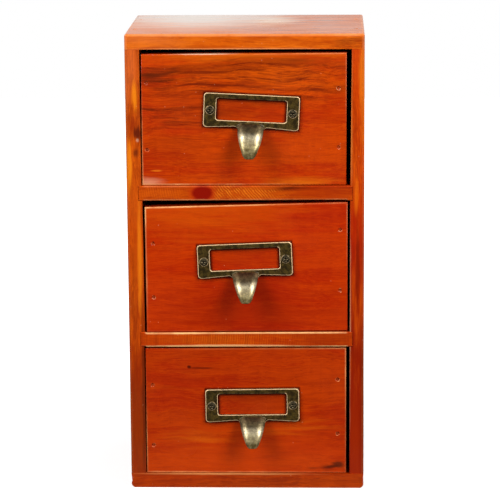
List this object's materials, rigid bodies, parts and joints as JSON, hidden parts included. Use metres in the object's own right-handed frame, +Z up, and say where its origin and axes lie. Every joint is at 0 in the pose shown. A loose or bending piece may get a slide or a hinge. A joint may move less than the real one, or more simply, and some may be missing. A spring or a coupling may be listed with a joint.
{
  "type": "desktop mini drawers",
  "caption": "Small upright wooden desktop cabinet with three stacked pull-out drawers, each with a brass label-holder pull.",
  "frame": {"origin": "centre of the cabinet's footprint, on the surface it stands on", "axes": "+X to the right seen from the front, +Y from the front to the back, +Z up"},
  "size_m": [0.15, 0.1205, 0.2945],
  "materials": {
    "stained_pine": "orange-red stain under glossy clear lacquer",
    "front_pine": "red-orange stain under glossy clear lacquer",
    "stained_plywood": "thin stained plywood, satin",
    "box_pine": "bare sanded pine",
    "box_plywood": "bare thin plywood",
    "antique_brass": "antiqued, dark in the field and worn bright on the edges",
    "screw_brass": "antiqued",
    "brad_steel": "dull"
  },
  "bodies": {
    "cabinet": {"top_board": "stained_pine", "bottom_board": "stained_pine", "left_side": "stained_pine", "right_side": "stained_pine", "upper_divider": "stained_pine", "lower_divider": "stained_pine", "back_panel": "stained_plywood", "top_board_brads": "brad_steel", "bottom_board_brads": "brad_steel", "left_side_brads": "brad_steel", "right_side_brads": "brad_steel", "back_panel_pins": "brad_steel"},
    "top_drawer": {"top_drawer_front": "front_pine", "top_drawer_left_side": "box_pine", "top_drawer_right_side": "box_pine", "top_drawer_back": "box_pine", "top_drawer_bottom": "box_plywood", "top_drawer_brads": "brad_steel", "top_pull": "antique_brass", "top_pull_screws": "screw_brass"},
    "middle_drawer": {"middle_drawer_front": "front_pine", "middle_drawer_left_side": "box_pine", "middle_drawer_right_side": "box_pine", "middle_drawer_back": "box_pine", "middle_drawer_bottom": "box_plywood", "middle_drawer_brads": "brad_steel", "middle_pull": "antique_brass", "middle_pull_screws": "screw_brass"},
    "bottom_drawer": {"bottom_drawer_front": "front_pine", "bottom_drawer_left_side": "box_pine", "bottom_drawer_right_side": "box_pine", "bottom_drawer_back": "box_pine", "bottom_drawer_bottom": "box_plywood", "bottom_drawer_brads": "brad_steel", "bottom_pull": "antique_brass", "bottom_pull_screws": "screw_brass"}
  },
  "joints": [
    {"name": "top_drawer_slide", "type": "slide", "parent": "cabinet", "child": "top_drawer", "axis": [0, -1, 0], "range_m": [0, 0.08]},
    {"name": "middle_drawer_slide", "type": "slide", "parent": "cabinet", "child": "middle_drawer", "axis": [0, -1, 0], "range_m": [0, 0.08]},
    {"name": "bottom_drawer_slide", "type": "slide", "parent": "cabinet", "child": "bottom_drawer", "axis": [0, -1, 0], "range_m": [0, 0.08]}
  ]
}
